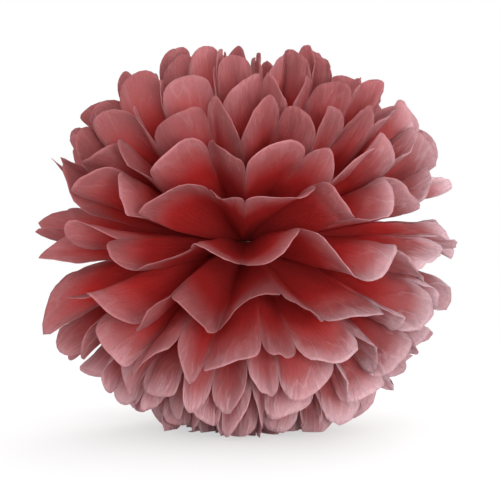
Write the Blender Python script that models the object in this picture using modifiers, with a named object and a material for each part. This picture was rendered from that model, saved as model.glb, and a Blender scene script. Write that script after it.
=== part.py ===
"""A tissue paper pom pom: twelve pleated tissue sheets, gathered at the middle by a wire tie.

Each sheet is one strip of tissue, folded as an accordion and cut round at both ends. The tie gathers its
middle. On each side of the tie the pleats open into a fan, half of a cone, whose ends are the petals of one
layer of the ball. The lowest petals bend along the surface that the ball stands on. +Z is up, -Y is the
front, and the origin is on the surface, below the tie.
"""

import math

import bmesh
import bpy

# Lengths are in metres and angles in degrees, unless a name says otherwise.

# The ball
PETAL_REACH = 0.1225  # along a petal, from where its sheet leaves the bundle to its tip
HEIGHT_SHARE = 0.90  # the ball's height to its width
DEPTH_SHARE = 0.94  # the ball's depth, front to back, to its width
TIE_HEIGHT = 0.108  # the tie's middle above the surface, less than the reach, so that the foot is flat

# The layers, lowest sheet first: how far each one's petal tips are pulled up from level
LAYER_ANGLES = (-81, -71, -59, -46, -33, -18, 1, 20, 32, 44, 58, 74)
LAYER_CURL = 12.0  # how much flatter the outermost sheets leave the tie than they end
BEND_LENGTH = 0.005  # from the bundle to where a sheet has turned halfway up or down

# The sheets
PLEATS = 12  # panels across a sheet, each of them a petal at both of its ends
TISSUE_WALL = 0.0005
LAYER_GAP = 0.0005  # between two sheets where the tie holds them
FOLD_DEPTH = 0.009  # of a fold above or below its layer, near the petals
FOLD_OPENING = 0.030  # from the tie to where the folds have opened halfway
FOLD_STEEPNESS = 0.30  # the most that a fold stands out, as a share of its distance from the ball's axis
LOBE_HEIGHT = 0.019  # of a petal's round end above the notches beside it
LOBE_POWER = 2.15  # 2 would make the round end an ellipse, and more makes it squarer

# The irregular set of hand-pulled paper, which grows from nothing at the tie
LAYER_TURN = 9.0  # of a whole layer round the ball's axis, one way in some layers and back in others
LAYER_LEAN = 4.0  # of all layers, down on the right and up on the left
FOLD_LEAN = 7.0  # of the upper folds over the lower ones, so that each second panel is wide and faces out
LEVEL_SHARE = 0.75  # of that lean that a level sheet, whose panels are wide anyway, doesn't have
TURN_SWAY = 4.5  # of a fold, round the ball's axis
LIFT_SWAY = 6.0  # of a fold, up or down
REACH_SWAY = 0.045  # of a petal's reach, as a share of it
FOLD_SWAY = 0.55  # of a fold's depth, as a share of it
SWAY_GROWTH = 0.045  # from the tie to where the sway has grown to half
TIP_CURL = 5.5  # of a petal's tip, up or down
CURL_START = 0.55  # where the tips start to curl, as a share of a petal's length

# The gathered bundle and the parting between a sheet's two fans
BUNDLE_WIDTH = 0.012
BUNDLE_LENGTH = 0.006
PARTING = 0.0018  # between the two fans, far from the tie
PARTING_CLOSING = 0.030  # from the tie to where the parting has closed halfway

# The tie
WIRE_DIAMETER = 0.0009
WIRE_CLEARANCE = 0.0003
WIRE_CORNER = 0.0024  # bend radius of the wire at the bundle's corners
TWIST_START = 0.0015  # from the ring to the first crossing
TWIST_LENGTH = 0.014
TWIST_TURN = 0.004  # length of one full turn of the twisted ends
TWIST_POINTS = 22
CORNER_POINTS = 3

SHEETS = len(LAYER_ANGLES)
LAYER_PITCH = TISSUE_WALL + LAYER_GAP
ROW_SHARES = (0.0, 0.10, 0.33, 0.66, 1.0)  # of the way from the tie to a notch between petals
SHOULDER = 0.16  # of a petal's width, from its notch to the shoulder of its round end


def clear_scene():
    for thing in list(bpy.data.objects):
        bpy.data.objects.remove(thing, do_unlink=True)


def make_collection(name):
    collection = bpy.data.collections.new(name)
    bpy.context.scene.collection.children.link(collection)
    return collection


def make_material(name, colour, roughness, metallic):
    material = bpy.data.materials.new(name)
    material.use_nodes = True
    shader = material.node_tree.nodes["Principled BSDF"]
    shader.inputs["Base Color"].default_value = (*colour, 1.0)
    shader.inputs["Roughness"].default_value = roughness
    shader.inputs["Metallic"].default_value = metallic
    material.diffuse_color = (*colour, 1.0)
    return material


def bend_setbacks():
    """How far outside the bundle each sheet turns up or down, so that the bends lie inside each other."""
    setbacks = [0.0] * SHEETS
    for layer in range(SHEETS - 2, -1, -1):
        if LAYER_ANGLES[layer] >= 0:
            step = LAYER_PITCH * math.tan(math.radians(LAYER_ANGLES[layer + 1]) / 2)
            setbacks[layer] = setbacks[layer + 1] + step
    for layer in range(1, SHEETS):
        if LAYER_ANGLES[layer] < 0:
            step = LAYER_PITCH * math.tan(math.radians(-LAYER_ANGLES[layer - 1]) / 2)
            setbacks[layer] = setbacks[layer - 1] + step
    return setbacks


SETBACKS = bend_setbacks()


def sway(layer, side, across, phase):
    """An irregular number between -1 and 1, the same in each run."""
    slow = math.sin(1.3 * across + 0.8 * layer + 1.9 * side + phase)
    fast = math.sin(4.1 * across - 1.9 * layer + 2.1 * side + 2 * phase)
    return 0.55 * slow + 0.45 * fast


def whim(layer, side, panel):
    """A number between -1 and 1 that differs from petal to petal, the same in each run."""
    return math.sin(12.9 * panel + 7.7 * layer + 4.3 * side + 2.0)


def fold_wave(across):
    """The pleats: -1 on even folds, 1 on odd ones, straight between them."""
    return 1 - 2 * abs(across % 2 - 1)


def petal_reach(layer, side, across):
    return PETAL_REACH * (1 + REACH_SWAY * sway(layer, side, across, 5.3))


def lobe_drop(share):
    """How far a petal's round end lies below its tip, at a share of the petal's width."""
    off_middle = abs(2 * share - 1) ** LOBE_POWER
    return LOBE_HEIGHT * (1 - (1 - off_middle) ** (1 / LOBE_POWER))


def tip_curl(layer, side, across, distance):
    """How far a petal curls up or down, most in the middle of its tip and not at all at its folds."""
    panel = min(math.floor(across), PLEATS - 1)
    mid_panel = 1 - (2 * (across - panel) - 1) ** 2
    out_share = max(distance / PETAL_REACH - CURL_START, 0.0) / (1 - CURL_START)
    return TIP_CURL * whim(layer, side, panel) * mid_panel * out_share**2


def layer_height(layer):
    return (layer - (SHEETS - 1) / 2) * LAYER_PITCH


def sheet_point(layer, side, across, distance):
    """A point on a sheet's lower face.

    side is 1 for the right fan and -1 for the left, across counts folds from the front to the back, and
    distance runs along the paper from where it leaves the bundle.
    """
    tip_angle = math.radians(LAYER_ANGLES[layer])
    grown = distance / (distance + SWAY_GROWTH)
    inside = min(1.0, across, PLEATS - across)
    lean = FOLD_LEAN * (1 - LEVEL_SHARE * math.cos(tip_angle)) * fold_wave(across)
    turn = (TURN_SWAY * sway(layer, side, across, 0.0) + lean) * grown * inside
    azimuth = math.radians(180 * across / PLEATS - 90 + turn)

    curl = math.radians(LAYER_CURL) * math.sin(tip_angle) * abs(math.sin(tip_angle))
    angle = tip_angle - curl * (1 - (distance / PETAL_REACH) ** 2)
    angle *= distance / (distance + BEND_LENGTH)
    depth_angle = FOLD_DEPTH * distance / (distance**2 + FOLD_OPENING**2)
    depth_angle *= 1 + FOLD_SWAY * sway(layer, side, across, 4.6) * grown
    fold = min(depth_angle, FOLD_STEEPNESS * math.cos(angle)) * fold_wave(across)
    lift = LIFT_SWAY * sway(layer, side, across, 1.3) - LAYER_LEAN * side * math.cos(azimuth)
    lift += tip_curl(layer, side, across, distance)
    angle += fold + math.radians(lift) * math.cos(tip_angle) * grown

    out = SETBACKS[layer] + distance * math.cos(angle)
    z = TIE_HEIGHT + layer_height(layer) + HEIGHT_SHARE * distance * math.sin(angle)
    surface = layer * LAYER_PITCH
    if z < surface:
        out += surface - z
        z = surface

    closed = distance**2 / (distance**2 + PARTING_CLOSING**2)
    half_parting = BUNDLE_LENGTH / 2 * (1 - closed) + PARTING / 2 * closed
    x = side * (half_parting + out * math.cos(azimuth))
    y = BUNDLE_WIDTH * (across / PLEATS - 0.5) + out * math.sin(azimuth)
    layer_turn = math.radians(LAYER_TURN) * math.sin(2.5 * tip_angle + 0.8) * closed
    return (
        x * math.cos(layer_turn) - y * math.sin(layer_turn),
        (x * math.sin(layer_turn) + y * math.cos(layer_turn)) * DEPTH_SHARE,
        z,
    )


def fold_line(mesh, layer, side, fold):
    """The points of one fold, from the bundle to the notch between two petals."""
    length = petal_reach(layer, side, fold) - LOBE_HEIGHT
    return [mesh.verts.new(sheet_point(layer, side, fold, share * length)) for share in ROW_SHARES]


def lobe_arc(mesh, layer, side, panel):
    """The points of one petal's round end, between its two notches."""
    reach = petal_reach(layer, side, panel + 0.5)
    shares = (SHOULDER, 0.5, 1 - SHOULDER)
    return [
        mesh.verts.new(sheet_point(layer, side, panel + share, reach - lobe_drop(share)))
        for share in shares
    ]


def add_face(mesh, points, side):
    """A face that looks up on either side of the tie."""
    mesh.faces.new(points if side > 0 else reversed(points))


def add_fan(mesh, layer, side):
    """One side's pleats and petals. It returns the points along the bundle's edge."""
    folds = [fold_line(mesh, layer, side, fold) for fold in range(PLEATS + 1)]
    for panel in range(PLEATS):
        near, far = folds[panel], folds[panel + 1]
        for row in range(len(ROW_SHARES) - 1):
            add_face(mesh, (near[row], near[row + 1], far[row + 1]), side)
            add_face(mesh, (near[row], far[row + 1], far[row]), side)
        first, tip, last = lobe_arc(mesh, layer, side, panel)
        add_face(mesh, (near[-1], first, last), side)
        add_face(mesh, (near[-1], last, far[-1]), side)
        add_face(mesh, (first, tip, last), side)
    return [fold[0] for fold in folds]


def add_sheet(layer, collection, material):
    mesh = bmesh.new()
    left = add_fan(mesh, layer, -1)
    right = add_fan(mesh, layer, 1)
    for fold in range(PLEATS):
        mesh.faces.new((left[fold], right[fold], right[fold + 1]))
        mesh.faces.new((left[fold], right[fold + 1], left[fold + 1]))
    name = f"tissue_sheet_{layer + 1:02d}"
    data = bpy.data.meshes.new(name)
    mesh.to_mesh(data)
    mesh.free()
    data.materials.append(material)
    sheet = bpy.data.objects.new(name, data)
    collection.objects.link(sheet)
    wall = sheet.modifiers.new("tissue_wall", "SOLIDIFY")
    wall.thickness = TISSUE_WALL
    wall.offset = 1.0
    return sheet


def corner_arc(y, z, start):
    """Points of a quarter turn of the wire about (y, z), from the angle start in degrees on."""
    angles = [math.radians(start + 90 * step / (CORNER_POINTS - 1)) for step in range(CORNER_POINTS)]
    return [(0.0, y + WIRE_CORNER * math.cos(a), z + WIRE_CORNER * math.sin(a)) for a in angles]


def twisted_end(ring_y, middle, turn):
    """One of the two twisted ends, from the ring outwards; turn is its first place round the twist."""
    radius = (WIRE_DIAMETER + WIRE_CLEARANCE) / 2
    points = []
    for step in range(TWIST_POINTS):
        along = TWIST_LENGTH * step / (TWIST_POINTS - 1)
        angle = math.radians(turn) + math.tau * along / TWIST_TURN
        x = radius * math.sin(angle)
        z = middle + radius * math.cos(angle)
        points.append((x, ring_y + TWIST_START + along, z))
    return points


def tie_path():
    """From one twisted end, over the bundle, down its front, below it and back to the other end."""
    away = WIRE_CLEARANCE + WIRE_DIAMETER / 2
    half_width = BUNDLE_WIDTH / 2 + max(SETBACKS) + away
    half_height = (LAYER_PITCH * (SHEETS - 1) + TISSUE_WALL) / 2 + away
    middle = TIE_HEIGHT + TISSUE_WALL / 2
    corner_y = half_width - WIRE_CORNER
    corner_z = half_height - WIRE_CORNER
    upper = twisted_end(half_width, middle, 0.0)
    lower = twisted_end(half_width, middle, 180.0)
    return (
        upper[::-1]
        + corner_arc(corner_y, middle + corner_z, 0.0)
        + corner_arc(-corner_y, middle + corner_z, 90.0)
        + corner_arc(-corner_y, middle - corner_z, 180.0)
        + corner_arc(corner_y, middle - corner_z, 270.0)
        + lower
    )


def add_wire_tie(collection, material):
    points = tie_path()
    curve = bpy.data.curves.new("wire_tie", "CURVE")
    curve.dimensions = "3D"
    curve.bevel_depth = WIRE_DIAMETER / 2
    curve.bevel_resolution = 2
    curve.use_fill_caps = True
    spline = curve.splines.new("POLY")
    spline.points.add(len(points) - 1)
    for point, place in zip(spline.points, points):
        point.co = (*place, 1.0)
    curve.materials.append(material)
    tie = bpy.data.objects.new("wire_tie", curve)
    collection.objects.link(tie)
    return tie


def build():
    clear_scene()
    pom_pom = make_collection("tissue_pom_pom")
    tissue = make_material("dusty_red_tissue", (0.27, 0.063, 0.066), 0.85, 0.0)
    wire = make_material("steel_tie_wire", (0.45, 0.45, 0.45), 0.35, 1.0)
    for layer in range(SHEETS):
        add_sheet(layer, pom_pom, tissue)
    add_wire_tie(pom_pom, wire)


build()
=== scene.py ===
import math
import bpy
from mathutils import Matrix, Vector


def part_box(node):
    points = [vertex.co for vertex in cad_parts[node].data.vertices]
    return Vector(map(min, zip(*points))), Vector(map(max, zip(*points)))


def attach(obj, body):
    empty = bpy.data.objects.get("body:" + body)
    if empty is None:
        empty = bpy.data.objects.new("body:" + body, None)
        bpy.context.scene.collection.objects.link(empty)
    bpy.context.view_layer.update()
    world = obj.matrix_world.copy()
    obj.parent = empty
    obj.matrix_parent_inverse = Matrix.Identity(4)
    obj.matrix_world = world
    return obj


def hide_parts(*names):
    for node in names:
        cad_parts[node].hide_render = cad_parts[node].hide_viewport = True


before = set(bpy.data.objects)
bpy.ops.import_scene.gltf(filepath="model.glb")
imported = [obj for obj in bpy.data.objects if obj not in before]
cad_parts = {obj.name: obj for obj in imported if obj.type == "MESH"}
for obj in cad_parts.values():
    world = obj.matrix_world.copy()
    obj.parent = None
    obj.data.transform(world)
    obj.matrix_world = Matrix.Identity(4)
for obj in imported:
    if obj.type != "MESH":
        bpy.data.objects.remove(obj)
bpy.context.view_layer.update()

from types import SimpleNamespace

import bpy
from mathutils import Vector

# Lengths are in metres and angles in degrees, unless a name says otherwise. A range is a start and an end.

# The gathered middle, as the tie in the frame holds it
TIE_BOX = [Vector(corner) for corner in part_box("wire_tie")]
TISSUE_WALL = 0.0005
TIE_HEIGHT = (TIE_BOX[0].z + TIE_BOX[1].z) / 2 - TISSUE_WALL / 2
BUNDLE_WIDTH = 0.012
BUNDLE_LENGTH = 0.006
LAYER_PITCH = 0.001

# The layers, lowest sheet first: how far each one's petal tips are pulled up from level
LAYER_ANGLES = (-81, -71, -59, -46, -33, -18, 1, 20, 32, 44, 58, 74)
SHEETS = len(LAYER_ANGLES)
PLEATS = 12

# The finished tissue
PAPER_THICKNESS = 0.00022
PANEL_WIDTH = 0.040  # of one pleat of the flat sheet
PANEL_COLUMNS = 16  # quads across a pleat
FAN_ROWS = 38  # quads along a petal, from the tie to its tip
SHARPEST_FOLD = 0.995  # 1 would be a knife's edge

# The photograph's view
VIEW_AZIMUTH = 67.0
VIEW_ELEVATION = 3.0
VIEW_DISTANCE = 1.25
VIEW_WIDTH = 0.2907  # across the picture at the ball's middle
AIM = Vector((0.0020, 0.0010, 0.1040))
SENSOR_WIDTH_MM = 36.0

# The paper is frilly on one side, to the right in the camera's view, and its colour is painted lighter
# there, as if lit through
LIT_AND_FRILLY_SIDE = (math.cos(math.radians(VIEW_AZIMUTH)), math.sin(math.radians(VIEW_AZIMUTH)))

# The sizes and proportions of the sheets. All the angles among them are in radians.
SHEET_SIZES = {
    "Petal Reach": 0.1225,
    "Height Share": 0.90,
    "Depth Share": 0.94,
    "Layer Curl": math.radians(12.0),
    "Bend Length": 0.005,
    "Fold Depth": 0.009,
    "Fold Opening": 0.030,
    "Fold Steepness": 0.30,
    "Fold Softness": 0.38,
    "Fold Lean": math.radians(7.0),
    "Level Share": 0.75,
    "Lobe Height": 0.0195,
    "Lobe Power": 2.15,
    "Pointing": 0.40,
    "Point Reach": 0.004,
    "Layer Turn": math.radians(9.0),
    "Layer Lean": math.radians(4.0),
    "Turn Sway": math.radians(4.5),
    "Lift Sway": math.radians(6.0),
    "Reach Sway": 0.045,
    "Fold Sway": 0.55,
    "Sway Growth": 0.045,
    "Parting": 0.0010,
    "Parting Closing": 0.030,
    "Cupping": math.radians(2.0),
    "Tip Curl": math.radians(5.5),
    "Curl Start": 0.55,
    "Gather Depth": 0.0009,
    "Crumple Depth": 0.0024,
    "Crease Depth": 0.0017,
    "Edge Roughness": 0.0013,
    "Frill": 1.4,
}
LAYER_VALUES = ("Layer", "Tip Angle", "Layer Height", "Setback")

# Where each irregular number starts in its waves, so that they don't all move together
TURN_PHASE = 0.0
LIFT_PHASE = 1.3
FOLD_PHASE = 4.6
REACH_PHASE = 5.3
CUPPING_PHASE = 0.0
TIP_CURL_PHASE = 2.0

# The pointed petals: how much each looks to the plain side, and how level it is, both as cosines
PLAIN_SIDE_RANGE = (0.78, 0.97)
LEVEL_RANGE = (0.75, 0.95)
POINT_NARROWING = 1.6

# The wrinkles in the mesh, in cells per metre across and along the paper
GATHER_CELLS = (130, 9)
CRUMPLE_CELLS = (75, 30)
CREASE_CELLS = (90, 22)
EDGE_CELLS = 160.0
CREASE_SHIFT = 5.0  # so that the creases don't follow the crumples
LAYER_SHIFT = 0.37  # so that no two layers are wrinkled alike
SIDE_SHIFT = 0.11  # and no two fans of a sheet

# Shares of a petal's length, from the tie, over which the wrinkles begin
GATHER_RANGE = (0.02, 0.25)
GATHER_END = 1.1  # the gathers grow less towards here, just past the tip
CRUMPLE_RANGE = (0.25, 1.0)
CREASE_RANGE = (0.45, 1.0)
FLOOR_RANGE = (0.001, 0.006)  # heights over which they begin, because the paper lies flat on the floor

# Colours, as linear red, green and blue
# Painted shade: the deep red that stands for the shade near the tie
PAINTED_SHADE_RED = (0.500, 0.024, 0.023)
DUSTY_ROSE = (0.480, 0.140, 0.144)
# Painted light: the paler rose of the lit tips, also used for the painted rim highlight
LIT_PALE_ROSE = (0.590, 0.325, 0.352)
# Painted light: the pale glow of thin edges lit from behind, also used for the crease marks
BACKLIT_GLOW_ROSE = (0.700, 0.525, 0.560)
TIE_STEEL = (0.45, 0.45, 0.46)
STUDIO_WHITE = (0.90, 0.90, 0.90)
PURE_WHITE = (1.0, 1.0, 1.0)

# The marks on the paper, in cells per metre: across and along it, or in any direction
STREAK_CELLS = (700, 45)
FIBRE_CELLS = (1300, 500)
CRINKLE_CELLS = (130, 60)
CRINKLE_SLANT = 70
LINE_CELLS = (100, 28)
LINE_SLANT = 20
CLOUD_CELLS = 45.0
SPECKLE_CELLS = 950.0

# Distances from a petal's cut edge over which the colours change, and with them the painted shade, the
# painted light and the painted rim highlight
TIP_RANGE = (0.004, 0.030)
PAINTED_SHADE_RANGE = (0.003, 0.040)
TIP_LIGHT_RANGE = (0.0, 0.018)
BACKLIT_GLOW_RANGE = (0.0, 0.017)
RIM_HIGHLIGHT_RANGE = (0.0004, 0.0012)

# Distances from the ball's axis towards the lit side, and heights, over which the paper is painted lighter:
# painted light on that side, and at the foot painted light as if bounced from the floor
LIT_SIDE_RANGE = (0.02, 0.120)
LIT_SIDE_DROP = 0.45  # how far each metre below the tie counts as a distance to the lit side, so that lower paper is painted lighter
# Heights over which the foot is painted lighter, as if lit by light bounced from the floor
FLOOR_LIGHT_RANGE = (0.0, 0.075)

# The paper's finish
PAPER_ROUGHNESS = 0.78
PAPER_SHEEN = 0.25
PAPER_RELIEF = 0.0009
PAPER_RELIEF_STRENGTH = 0.7
LIGHT_THROUGH = 0.30
LIGHT_THROUGH_AT_TIP = 0.16

# The wire's finish
SCORE_CELLS = 2600.0
TARNISH_CELLS = 420.0
TARNISH_RANGE = (-0.5, 0.7)
TARNISHED_SHARE = 0.62
WIRE_ROUGHNESS = 0.36
WIRE_RELIEF = 0.0001
WIRE_RELIEF_STRENGTH = 0.2

# The studio
FLOOR_RADIUS = 6.0
FLOOR_CORNERS = 96
FLOOR_ROUGHNESS = 0.9
SHADOW_RANGE = (0.15, 0.6)  # distances from the ball over which its shadow fades to plain white
PLAIN_NEAR_BALL = 0.55  # the share of plain white beside the ball
SKY_SEEN = 1.0
SKY_LIGHT = 0.98
# For each lamp its turn from the camera, to the right where it is positive, then its elevation, distance,
# width and watts
LAMPS = {
    "key_light": (-10.0, 20.0, 1.7, 1.2, 9.0),
    "low_light": (14.0, -1.0, 1.5, 0.7, 19.0),
    "side_light": (100.0, 6.0, 1.4, 0.9, 5.5),
    "back_light": (165.0, 15.0, 1.6, 1.0, 18.0),
}


class Value:
    """A number in a node tree. Python's operators on it add Math nodes."""

    def __init__(self, graph, socket):
        self.graph = graph
        self.socket = socket

    def __add__(self, other):
        return self.graph.math("ADD", self, other)

    def __radd__(self, other):
        return self.graph.math("ADD", other, self)

    def __sub__(self, other):
        return self.graph.math("SUBTRACT", self, other)

    def __rsub__(self, other):
        return self.graph.math("SUBTRACT", other, self)

    def __mul__(self, other):
        return self.graph.math("MULTIPLY", self, other)

    def __rmul__(self, other):
        return self.graph.math("MULTIPLY", other, self)

    def __truediv__(self, other):
        return self.graph.math("DIVIDE", self, other)

    def __rtruediv__(self, other):
        return self.graph.math("DIVIDE", other, self)

    def __pow__(self, power):
        return self.graph.math("POWER", self, power)

    def __neg__(self):
        return self.graph.math("MULTIPLY", self, -1.0)


class Graph:
    """Adds nodes to one node tree and links them."""

    def __init__(self, tree):
        self.tree = tree

    def feed(self, socket, value):
        if isinstance(value, Value):
            value = value.socket
        if isinstance(value, bpy.types.NodeSocket):
            self.tree.links.new(value, socket)
        else:
            socket.default_value = value

    def node(self, kind, settings=None, inputs=None):
        """A node with its settings made first, then its sockets filled, by name or by number."""
        made = self.tree.nodes.new(kind)
        for name, value in (settings or {}).items():
            setattr(made, name, value)
        for key, value in (inputs or {}).items():
            self.feed(made.inputs[key], value)
        return made

    def value(self, kind, settings=None, inputs=None, output=0):
        return Value(self, self.node(kind, settings, inputs).outputs[output])

    def math(self, operation, *values):
        return self.value("ShaderNodeMath", {"operation": operation}, dict(enumerate(values)))

    def sin(self, angle):
        return self.math("SINE", angle)

    def cos(self, angle):
        return self.math("COSINE", angle)

    def least(self, first, second):
        return self.math("MINIMUM", first, second)

    def most(self, first, second):
        return self.math("MAXIMUM", first, second)

    def size_of(self, number):
        return self.math("ABSOLUTE", number)

    def ramp(self, number, start, end):
        """0 at start and 1 at end, eased at both."""
        settings = {"interpolation_type": "SMOOTHSTEP"}
        return self.value("ShaderNodeMapRange", settings, {0: number, 1: start, 2: end})

    def vector(self, x, y, z):
        return self.node("ShaderNodeCombineXYZ", None, {0: x, 1: y, 2: z}).outputs[0]

    def split(self, vector):
        made = self.node("ShaderNodeSeparateXYZ", None, {0: vector})
        return [Value(self, socket) for socket in made.outputs]

    def scaled(self, vector, factor):
        settings = {"operation": "SCALE"}
        return self.node("ShaderNodeVectorMath", settings, {0: vector, "Scale": factor}).outputs[0]

    def noise(self, place, scale, detail=2.0, roughness=0.5):
        """A noise about 0, between -1 and 1."""
        inputs = {"Vector": place, "Scale": scale, "Detail": detail, "Roughness": roughness}
        return (self.value("ShaderNodeTexNoise", None, inputs) - 0.5) * 2

    def random(self, place):
        """A number from 0 to 1 that jumps from one cell to the next."""
        return self.value("ShaderNodeTexWhiteNoise", {"noise_dimensions": "3D"}, {"Vector": place})

    def blend(self, share, first, second):
        settings = {"data_type": "RGBA", "blend_type": "MIX"}
        return self.node("ShaderNodeMix", settings, {0: share, 6: first, 7: second}).outputs[2]

    def bump(self, strength, distance, height):
        inputs = {"Strength": strength, "Distance": distance, "Height": height}
        return self.node("ShaderNodeBump", None, inputs).outputs[0]


def bend_setbacks():
    """How far outside the bundle each sheet turns up or down, as the solids do."""
    setbacks = [0.0] * SHEETS
    for layer in range(SHEETS - 2, -1, -1):
        if LAYER_ANGLES[layer] >= 0:
            step = LAYER_PITCH * math.tan(math.radians(LAYER_ANGLES[layer + 1]) / 2)
            setbacks[layer] = setbacks[layer + 1] + step
    for layer in range(1, SHEETS):
        if LAYER_ANGLES[layer] < 0:
            step = LAYER_PITCH * math.tan(math.radians(-LAYER_ANGLES[layer - 1]) / 2)
            setbacks[layer] = setbacks[layer - 1] + step
    return setbacks


def sway(g, at, phase):
    """An irregular number between -1 and 1, the same as the solids have."""
    slow = g.sin(1.3 * at.across + 0.8 * at.layer + 1.9 * at.side + phase)
    fast = g.sin(4.1 * at.across - 1.9 * at.layer + 2.1 * at.side + 2 * phase)
    return 0.55 * slow + 0.45 * fast


def whim(g, at, phase):
    """A number between -1 and 1 that differs from petal to petal, the same as the solids have."""
    return g.sin(12.9 * at.panel + 7.7 * at.layer + 4.3 * at.side + phase)


def sheet_place(g, layer, frill_share):
    """Where each point of the flat grid lies on the sheet, across its pleats and along its petals."""
    flat_x, flat_y, _ = g.split(g.node("GeometryNodeInputPosition").outputs[0])
    at = SimpleNamespace(layer=layer)

    # Across the sheet: which panel, and how far over it, with more columns beside the folds
    counted = flat_x + PLEATS / 2
    at.panel = g.least(g.math("FLOOR", counted + 1e-4), PLEATS - 1.0)
    over = (1 - g.cos(math.pi * (counted - at.panel))) / 2
    at.across = at.panel + over
    at.off_middle = g.size_of(2 * over - 1)

    # Along the sheet: the first row is the bundle's edge, and the others run out to the petal's tip
    at.side = g.math("SIGN", flat_y)
    away = g.size_of(flat_y) * (FAN_ROWS + 1)
    at.inside_bundle = g.least(away, 1.0)
    at.outward = g.most(away - 1, 0.0) / FAN_ROWS

    # The paper is frillier on the side where its colour is painted lighter, as if lit
    at.azimuth = at.across * (math.pi / PLEATS) - math.pi / 2
    to_right = at.side * g.cos(at.azimuth) * LIT_AND_FRILLY_SIDE[0]
    at.facing = to_right + g.sin(at.azimuth) * LIT_AND_FRILLY_SIDE[1]
    at.frill = 1 + frill_share * g.most(at.facing, 0.0)
    return at


def petal_rim(g, size, at):
    """How far from the tie each petal ends: round, but pointed on a few level ones on the plain side."""
    level = g.ramp(g.cos(size["Tip Angle"]), *LEVEL_RANGE)
    pointed = g.ramp(-at.facing, *PLAIN_SIDE_RANGE) * level
    reach = size["Petal Reach"] * (1 + size["Reach Sway"] * sway(g, at, REACH_PHASE))
    reach = reach + size["Point Reach"] * pointed
    power = size["Lobe Power"] * (1 - size["Pointing"] * pointed)
    lobe = size["Lobe Height"] * (1 + POINT_NARROWING * size["Pointing"] * pointed)
    drop = lobe * (1 - (1 - g.least(at.off_middle**power, 1.0)) ** (1 / power))
    rough_place = g.vector(at.across * PANEL_WIDTH, at.layer, at.side)
    rough_edge = g.noise(rough_place, EDGE_CELLS, 4.0, 0.65) * size["Edge Roughness"] * at.frill
    return reach - drop + rough_edge


def pulled_angle(g, size, at, distance, grown, azimuth, wave):
    """How far each point is pulled up or down from level, with its fold and its petal's own whims."""
    tip_angle = size["Tip Angle"]
    tip_sine = g.sin(tip_angle)
    curl = size["Layer Curl"] * tip_sine * g.size_of(tip_sine)
    angle = tip_angle - curl * (1 - (distance / size["Petal Reach"]) ** 2.0)
    angle = angle * distance / (distance + size["Bend Length"])

    opening = size["Fold Opening"]
    depth_angle = size["Fold Depth"] * distance / (distance * distance + opening * opening)
    depth_angle = depth_angle * (1 + size["Fold Sway"] * sway(g, at, FOLD_PHASE) * grown)
    fold = g.least(depth_angle, size["Fold Steepness"] * g.cos(angle)) * wave

    lift = size["Lift Sway"] * sway(g, at, LIFT_PHASE)
    lift = lift - size["Layer Lean"] * at.side * g.cos(azimuth)
    mid_panel = 1 - at.off_middle * at.off_middle
    curl_start = size["Curl Start"]
    tip_share = g.most(distance / size["Petal Reach"] - curl_start, 0.0) / (1 - curl_start)
    cupping = size["Cupping"] * whim(g, at, CUPPING_PHASE) * grown
    tip_curl = size["Tip Curl"] * whim(g, at, TIP_CURL_PHASE) * tip_share * tip_share
    loose = (lift + (cupping + tip_curl) * mid_panel) * g.cos(tip_angle) * grown
    return angle + fold + loose


def folded_place(g, size, at, distance):
    """Where each point of the sheet lies once it is pleated, tied and pulled up or down."""
    tip_angle = size["Tip Angle"]

    # The pleats: -1 on even folds, 1 on odd ones, with folds that soften towards the tips
    softness = SHARPEST_FOLD - size["Fold Softness"] * at.outward * at.outward
    wave = -g.math("ARCSINE", softness * g.cos(math.pi * at.across)) / g.math("ARCSINE", softness)

    # Where it goes round the ball's axis
    grown = distance / (distance + size["Sway Growth"])
    kept_in = g.least(1.0, g.least(at.across, PLEATS - at.across))
    turn = size["Turn Sway"] * sway(g, at, TURN_PHASE)
    turn = turn + size["Fold Lean"] * (1 - size["Level Share"] * g.cos(tip_angle)) * wave
    azimuth = at.azimuth + turn * grown * kept_in

    # How far out and how high it is; what would be below the floor bends outwards along it
    angle = pulled_angle(g, size, at, distance, grown, azimuth, wave)
    out = size["Setback"] + distance * g.cos(angle)
    z = TIE_HEIGHT + size["Layer Height"] + size["Height Share"] * distance * g.sin(angle)
    surface = at.layer * LAYER_PITCH + PAPER_THICKNESS
    out = out + g.most(surface - z, 0.0)
    z = g.most(z, surface)

    # The parting between the two fans, and the turn of each layer round the axis
    closing = size["Parting Closing"]
    closed = distance * distance / (distance * distance + closing * closing)
    half_parting = BUNDLE_LENGTH / 2 * (1 - closed) + size["Parting"] / 2 * closed
    x = at.side * (half_parting + out * g.cos(azimuth)) * at.inside_bundle
    y = BUNDLE_WIDTH * (at.across / PLEATS - 0.5) + out * g.sin(azimuth) * at.inside_bundle
    layer_turn = size["Layer Turn"] * g.sin(2.5 * tip_angle + 0.8) * closed
    turned_x = x * g.cos(layer_turn) - y * g.sin(layer_turn)
    turned_y = (x * g.sin(layer_turn) + y * g.cos(layer_turn)) * size["Depth Share"]
    return g.vector(turned_x, turned_y, z)


def with_attributes(g, geometry, attributes):
    for kind, domain, name, held in attributes:
        settings = {"data_type": kind, "domain": domain}
        inputs = {"Geometry": geometry, "Name": name, "Value": held}
        geometry = g.node("GeometryNodeStoreNamedAttribute", settings, inputs).outputs[0]
    return geometry


def captured(g, geometry, values):
    """The geometry and the values, worked out on it as it is now and kept for what comes later."""
    capture = g.node("GeometryNodeCaptureAttribute", {"domain": "POINT"})
    for kind, name, _ in values:
        capture.capture_items.new(kind, name)
    g.feed(capture.inputs[0], geometry)
    for number, (_, _, value) in enumerate(values, 1):
        g.feed(capture.inputs[number], value)
    return capture.outputs[0], capture.outputs[1:len(values) + 1]


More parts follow.
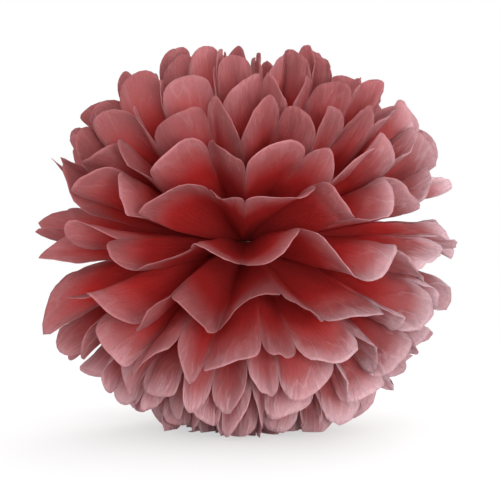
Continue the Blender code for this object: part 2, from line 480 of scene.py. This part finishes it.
def wrinkle_rise(g, size, place, outward, frill):
    """How far the paper stands out: gathers near the tie, crumples and sharp creases towards the tips."""
    x, y, z = g.split(place)
    _, _, height = g.split(g.node("GeometryNodeInputPosition").outputs[0])
    gather_place = g.vector(x * GATHER_CELLS[0], y * GATHER_CELLS[1], z)
    crumple_place = g.vector(x * CRUMPLE_CELLS[0], y * CRUMPLE_CELLS[1], z)
    crease_place = g.vector(x * CREASE_CELLS[0], y * CREASE_CELLS[1], z + CREASE_SHIFT)
    gathers = g.noise(gather_place, 1.0, 2.0)
    crumples = g.noise(crumple_place, 1.0, 3.0)
    creases = g.size_of(g.noise(crease_place, 1.0, 1.0))
    rise = gathers * size["Gather Depth"] * (GATHER_END - outward) * g.ramp(outward, *GATHER_RANGE)
    rise = rise + crumples * size["Crumple Depth"] * g.ramp(outward, *CRUMPLE_RANGE) * frill
    rise = rise - creases * size["Crease Depth"] * g.ramp(outward, *CREASE_RANGE) * frill
    return rise * g.ramp(height, *FLOOR_RANGE)


def pleated_sheet_tree():
    """One tissue sheet with both its fans, folded up from a flat grid."""
    tree = bpy.data.node_groups.new("pleated_sheet", "GeometryNodeTree")
    tree.interface.new_socket("Geometry", in_out="OUTPUT", socket_type="NodeSocketGeometry")
    for name in (*LAYER_VALUES, *SHEET_SIZES):
        tree.interface.new_socket(name, in_out="INPUT", socket_type="NodeSocketFloat")
    tree.interface.new_socket("Paper", in_out="INPUT", socket_type="NodeSocketMaterial")
    g = Graph(tree)
    given = g.node("NodeGroupInput")
    size = {name: Value(g, given.outputs[name]) for name in (*LAYER_VALUES, *SHEET_SIZES)}

    grid_inputs = {
        "Size X": float(PLEATS),
        "Size Y": 2.0,
        "Vertices X": PLEATS * PANEL_COLUMNS + 1,
        "Vertices Y": 2 * (FAN_ROWS + 1) + 1,
    }
    grid = g.node("GeometryNodeMeshGrid", None, grid_inputs).outputs["Mesh"]
    at = sheet_place(g, size["Layer"], size["Frill"])
    rim = petal_rim(g, size, at)
    distance = at.outward * rim
    place = folded_place(g, size, at, distance)

    # What the finish and the wrinkles need is worked out on the flat grid and kept
    across_paper = at.across * PANEL_WIDTH
    along_paper = at.side * (distance + BUNDLE_LENGTH / 2 * at.inside_bundle)
    shift = at.layer * LAYER_SHIFT + at.side * SIDE_SHIFT
    attributes = (
        ("FLOAT", "POINT", "rim_gap", rim - distance),
        ("FLOAT", "POINT", "petal_shade", g.random(g.vector(at.panel, at.layer, at.side))),
        ("FLOAT2", "CORNER", "UVMap", g.vector(across_paper, along_paper, 0.0)),
    )
    geometry = with_attributes(g, grid, attributes)
    values = (
        ("VECTOR", "place", g.vector(across_paper, along_paper, shift)),
        ("FLOAT", "outward", at.outward),
        ("FLOAT", "frill", at.frill),
    )
    geometry, (paper_place, outward, frill) = captured(g, geometry, values)

    inputs = {"Geometry": geometry, "Position": place}
    geometry = g.node("GeometryNodeSetPosition", None, inputs).outputs[0]
    rise = wrinkle_rise(g, size, paper_place, Value(g, outward), Value(g, frill))
    normal = g.node("GeometryNodeInputNormal").outputs[0]
    inputs = {"Geometry": geometry, "Offset": g.scaled(normal, rise)}
    geometry = g.node("GeometryNodeSetPosition", None, inputs).outputs[0]

    inputs = {"Geometry": geometry, "Shade Smooth": True}
    geometry = g.node("GeometryNodeSetShadeSmooth", None, inputs).outputs[0]
    geometry = g.node("GeometryNodeRealizeInstances", None, {"Geometry": geometry}).outputs[0]
    inputs = {"Geometry": geometry, "Material": given.outputs["Paper"]}
    geometry = g.node("GeometryNodeSetMaterial", None, inputs).outputs[0]
    g.node("NodeGroupOutput", None, {"Geometry": geometry})
    return tree


def set_inputs(modifier, values):
    for item in modifier.node_group.interface.items_tree:
        if item.in_out == "INPUT" and item.name in values:
            modifier[item.identifier] = values[item.name]


def finished_mesh(holder, name):
    """The evaluated shape of holder as a plain mesh object; holder is removed."""
    graph = bpy.context.evaluated_depsgraph_get()
    mesh = bpy.data.meshes.new_from_object(
        holder.evaluated_get(graph), preserve_all_data_layers=True, depsgraph=graph
    )
    mesh.name = name
    bpy.data.objects.remove(holder, do_unlink=True)
    piece = bpy.data.objects.new(name, mesh)
    bpy.context.scene.collection.objects.link(piece)
    return piece


def make_tissue_sheet(tree, paper, layer, setback):
    holder = bpy.data.objects.new("holder", bpy.data.meshes.new("holder"))
    bpy.context.scene.collection.objects.link(holder)
    modifier = holder.modifiers.new("pleats", "NODES")
    modifier.node_group = tree
    values = {
        "Layer": float(layer),
        "Tip Angle": math.radians(LAYER_ANGLES[layer]),
        "Layer Height": (layer - (SHEETS - 1) / 2) * LAYER_PITCH,
        "Setback": setback,
        "Paper": paper,
    }
    set_inputs(modifier, {**SHEET_SIZES, **values})
    sheet = finished_mesh(holder, f"petals_{layer + 1:02d}")
    wall = sheet.modifiers.new("paper_thickness", "SOLIDIFY")
    wall.thickness = PAPER_THICKNESS
    wall.offset = 0.0
    return sheet


def new_material(name):
    material = bpy.data.materials.new(name)
    material.use_nodes = True
    graph = Graph(material.node_tree)
    shader = material.node_tree.nodes["Principled BSDF"]
    return material, graph, shader


def mix_into_surface(material, g, share, first, second):
    mixed = g.node("ShaderNodeMixShader", None, {0: share, 1: first.outputs[0], 2: second.outputs[0]})
    output = material.node_tree.nodes["Material Output"]
    g.feed(output.inputs["Surface"], mixed.outputs[0])


def opaque(colour):
    return (*colour, 1.0)


def attribute(g, name):
    return g.value("ShaderNodeAttribute", {"attribute_name": name}, output=2)


def paper_marks(g, object_place, petal):
    """The tissue's streaks, fibres, speckles and creases, and the soft clouds in its dye."""
    x, y, _ = g.split(g.node("ShaderNodeUVMap", {"uv_map": "UVMap"}).outputs[0])
    clouds = g.noise(object_place, CLOUD_CELLS, 3.0)
    streak_place = g.vector(x * STREAK_CELLS[0], y * STREAK_CELLS[1], petal * 9)
    fibre_place = g.vector(x * FIBRE_CELLS[0], y * FIBRE_CELLS[1], petal * 5)
    crinkle_along = y * CRINKLE_CELLS[1] + x * CRINKLE_SLANT
    crinkle_place = g.vector(x * CRINKLE_CELLS[0], crinkle_along, petal * 20)
    line_along = y * LINE_CELLS[1] + x * LINE_SLANT
    line_place = g.vector(x * LINE_CELLS[0] + clouds * 0.4, line_along, petal * 31)
    return SimpleNamespace(
        clouds=clouds,
        streaks=g.noise(streak_place, 1.0, 4.0, 0.6),
        fibres=g.noise(fibre_place, 1.0, 5.0, 0.65),
        speckles=g.noise(object_place, SPECKLE_CELLS, 2.0, 0.7),
        crinkles=g.size_of(g.noise(crinkle_place, 1.0, 3.0, 0.55)),
        creases=1 - g.ramp(g.size_of(g.noise(line_place, 1.0, 2.0, 0.45)), 0.0, 0.10),
    )


def tissue_paper():
    """Thin dyed tissue, with painted shade and light: deep red painted as the shade near the tie, where
    light hardly comes, and paler rose painted as light at the cut edges.
    """
    material, g, shader = new_material("dusty_red_tissue")
    rim_gap = attribute(g, "rim_gap")
    petal = attribute(g, "petal_shade")
    object_place = g.node("ShaderNodeTexCoord").outputs["Object"]
    place_x, place_y, height = g.split(object_place)
    marks = paper_marks(g, object_place, petal)

    # Painted light: paler where the light reaches the tips most, on one side of the ball, and at its foot as
    # if bounced from the floor
    tip = 1 - g.ramp(rim_gap + marks.clouds * 0.004, *TIP_RANGE)
    to_lit_side = place_x * LIT_AND_FRILLY_SIDE[0] + place_y * LIT_AND_FRILLY_SIDE[1] + (TIE_HEIGHT - height) * LIT_SIDE_DROP
    painted_floor_light = 1 - g.ramp(height, *FLOOR_LIGHT_RANGE)
    painted_light = g.most(g.ramp(to_lit_side, *LIT_SIDE_RANGE), 0.70 * painted_floor_light)

    # From the depths outwards: deep red as painted shade, dusty rose, then paler rose as painted light and a
    # pale painted glow, as if lit from behind, near the cut edge
    painted_shade = g.ramp(rim_gap + marks.clouds * 0.005 - painted_light * 0.010, *PAINTED_SHADE_RANGE)
    colour = g.blend(painted_shade, opaque(DUSTY_ROSE), opaque(PAINTED_SHADE_RED))
    # Painted light: paler near the cut edge, much more so on the lit side, and varying at random from petal
    # to petal
    edge = 1 - g.ramp(rim_gap + marks.streaks * 0.002 + marks.speckles * 0.002, *TIP_LIGHT_RANGE)
    painted_tip_light = edge * (0.04 + 0.26 * petal + 0.70 * painted_light)
    colour = g.blend(painted_tip_light, colour, opaque(LIT_PALE_ROSE))
    # Painted light: a pale glow near the cut edge on the lit side, as if lit from behind
    painted_backlit_glow = 1 - g.ramp(rim_gap + marks.clouds * 0.005 + marks.speckles * 0.003, *BACKLIT_GLOW_RANGE)
    colour = g.blend(painted_backlit_glow * painted_light * (0.45 + 0.55 * petal), colour, opaque(BACKLIT_GLOW_ROSE))
    # Pale crease marks near the tips, in the painted glow's colour, painted much stronger on the lit side
    colour = g.blend(marks.creases * tip * (0.10 + 0.40 * painted_light), colour, opaque(BACKLIT_GLOW_ROSE))
    # Painted highlight: a lighter line along each cut edge
    painted_rim_highlight = 1 - g.ramp(rim_gap, *RIM_HIGHLIGHT_RANGE)
    colour = g.blend(painted_rim_highlight * 0.2, colour, opaque(LIT_PALE_ROSE))

    # Random tone from the streaks, clouds, fibres and petals. Painted light makes the foot lighter, as if
    # lit by the floor, and makes the speckles stronger on the lit tips
    tone = 1.0 + 0.10 * marks.streaks + 0.14 * marks.clouds + 0.16 * marks.fibres
    tone = tone + 0.22 * (petal - 0.5) + 0.20 * painted_floor_light
    tone = tone + marks.speckles * (0.05 + 0.05 * tip + 0.18 * tip * painted_light)
    toned = g.scaled(colour, tone)

    relief = marks.fibres * 0.4 + marks.streaks * 0.4 + marks.crinkles * (1.0 + 2.5 * tip * painted_light)
    relief = relief + marks.creases * (0.15 + 0.5 * painted_light)
    bumped = g.bump(PAPER_RELIEF_STRENGTH, PAPER_RELIEF, relief)
    g.feed(shader.inputs["Base Color"], toned)
    g.feed(shader.inputs["Roughness"], PAPER_ROUGHNESS + 0.08 * marks.clouds)
    g.feed(shader.inputs["Normal"], bumped)
    shader.inputs["Specular IOR Level"].default_value = PAPER_SHEEN
    through = g.node("ShaderNodeBsdfTranslucent", None, {"Color": toned, "Normal": bumped})
    mix_into_surface(material, g, LIGHT_THROUGH + LIGHT_THROUGH_AT_TIP * tip, shader, through)
    return material


def tie_wire():
    """Plain drawn steel wire, faintly scored along its length."""
    material, g, shader = new_material("drawn_tie_wire")
    place = g.node("ShaderNodeTexCoord").outputs["Object"]
    scores = g.noise(place, SCORE_CELLS, 3.0)
    tarnish = g.noise(place, TARNISH_CELLS, 2.0)
    dark = tuple(TARNISHED_SHARE * part for part in TIE_STEEL)
    colour = g.blend(g.ramp(tarnish, *TARNISH_RANGE), opaque(TIE_STEEL), opaque(dark))
    g.feed(shader.inputs["Base Color"], colour)
    g.feed(shader.inputs["Roughness"], WIRE_ROUGHNESS + 0.12 * tarnish)
    g.feed(shader.inputs["Normal"], g.bump(WIRE_RELIEF_STRENGTH, WIRE_RELIEF, scores))
    shader.inputs["Metallic"].default_value = 1.0
    return material


def studio_floor():
    """A pale floor that keeps the ball's shadow near it and is plain white further out."""
    bpy.ops.mesh.primitive_circle_add(vertices=FLOOR_CORNERS, radius=FLOOR_RADIUS, fill_type="NGON")
    floor = bpy.context.object
    floor.name = "studio_floor"
    material, g, shader = new_material("studio_white")
    shader.inputs["Base Color"].default_value = opaque(STUDIO_WHITE)
    shader.inputs["Roughness"].default_value = FLOOR_ROUGHNESS
    place = g.node("ShaderNodeTexCoord").outputs["Object"]
    far = g.value("ShaderNodeVectorMath", {"operation": "LENGTH"}, {0: place}, output="Value")
    white = g.node("ShaderNodeEmission", None, {"Color": opaque(PURE_WHITE), "Strength": 1.0})
    seen = g.value("ShaderNodeLightPath", output="Is Camera Ray")
    plain = PLAIN_NEAR_BALL + (1 - PLAIN_NEAR_BALL) * g.ramp(far, *SHADOW_RANGE)
    mix_into_surface(material, g, seen * plain, shader, white)
    floor.data.materials.append(material)


def studio_world():
    """Plain white where the camera sees it, and a soft light from all sides."""
    world = bpy.data.worlds.new("studio")
    bpy.context.scene.world = world
    world.use_nodes = True
    g = Graph(world.node_tree)
    background = world.node_tree.nodes["Background"]
    path = g.node("ShaderNodeLightPath")
    rays = ("Is Camera Ray", "Is Glossy Ray", "Is Transmission Ray")
    camera, glossy, transmission = [Value(g, path.outputs[name]) for name in rays]
    seen = g.least(camera + glossy + transmission, 1.0)
    background.inputs["Color"].default_value = opaque(PURE_WHITE)
    g.feed(background.inputs["Strength"], SKY_SEEN * seen + SKY_LIGHT * (1 - seen))


def toward(azimuth, elevation):
    """The direction from the ball to a place round it; azimuth 0 is the front, and 90 the right."""
    azimuth = math.radians(azimuth)
    elevation = math.radians(elevation)
    level = Vector((math.sin(azimuth), -math.cos(azimuth), 0.0)) * math.cos(elevation)
    return level + Vector((0.0, 0.0, math.sin(elevation)))


def aimed(data, azimuth, elevation, away):
    """A lamp or camera in the scene, at its place round the ball and turned towards it."""
    made = bpy.data.objects.new(data.name, data)
    direction = toward(azimuth, elevation)
    made.location = AIM + direction * away
    made.rotation_euler = (-direction).to_track_quat("-Z", "Y").to_euler()
    bpy.context.scene.collection.objects.link(made)
    return made


def studio_lamp(name, turn, elevation, away, width, watts):
    """A round soft light."""
    data = bpy.data.lights.new(name, "AREA")
    data.shape = "DISK"
    data.size = width
    data.energy = watts
    aimed(data, VIEW_AZIMUTH + turn, elevation, away)


def studio_camera():
    data = bpy.data.cameras.new("photo_view")
    data.sensor_width = SENSOR_WIDTH_MM
    data.lens = SENSOR_WIDTH_MM * VIEW_DISTANCE / VIEW_WIDTH
    bpy.context.scene.camera = aimed(data, VIEW_AZIMUTH, VIEW_ELEVATION, VIEW_DISTANCE)


def make_pom_pom():
    tree = pleated_sheet_tree()
    paper = tissue_paper()
    for layer, setback in enumerate(bend_setbacks()):
        sheet = make_tissue_sheet(tree, paper, layer, setback)
        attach(sheet, "root")
        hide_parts(f"tissue_sheet_{layer + 1:02d}")
    wire = tie_wire()
    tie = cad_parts["wire_tie"]
    tie.data.materials.clear()
    tie.data.materials.append(wire)


bpy.context.scene.view_settings.view_transform = "Standard"
make_pom_pom()
studio_floor()
studio_world()
for lamp, placing in LAMPS.items():
    studio_lamp(lamp, *placing)
studio_camera()
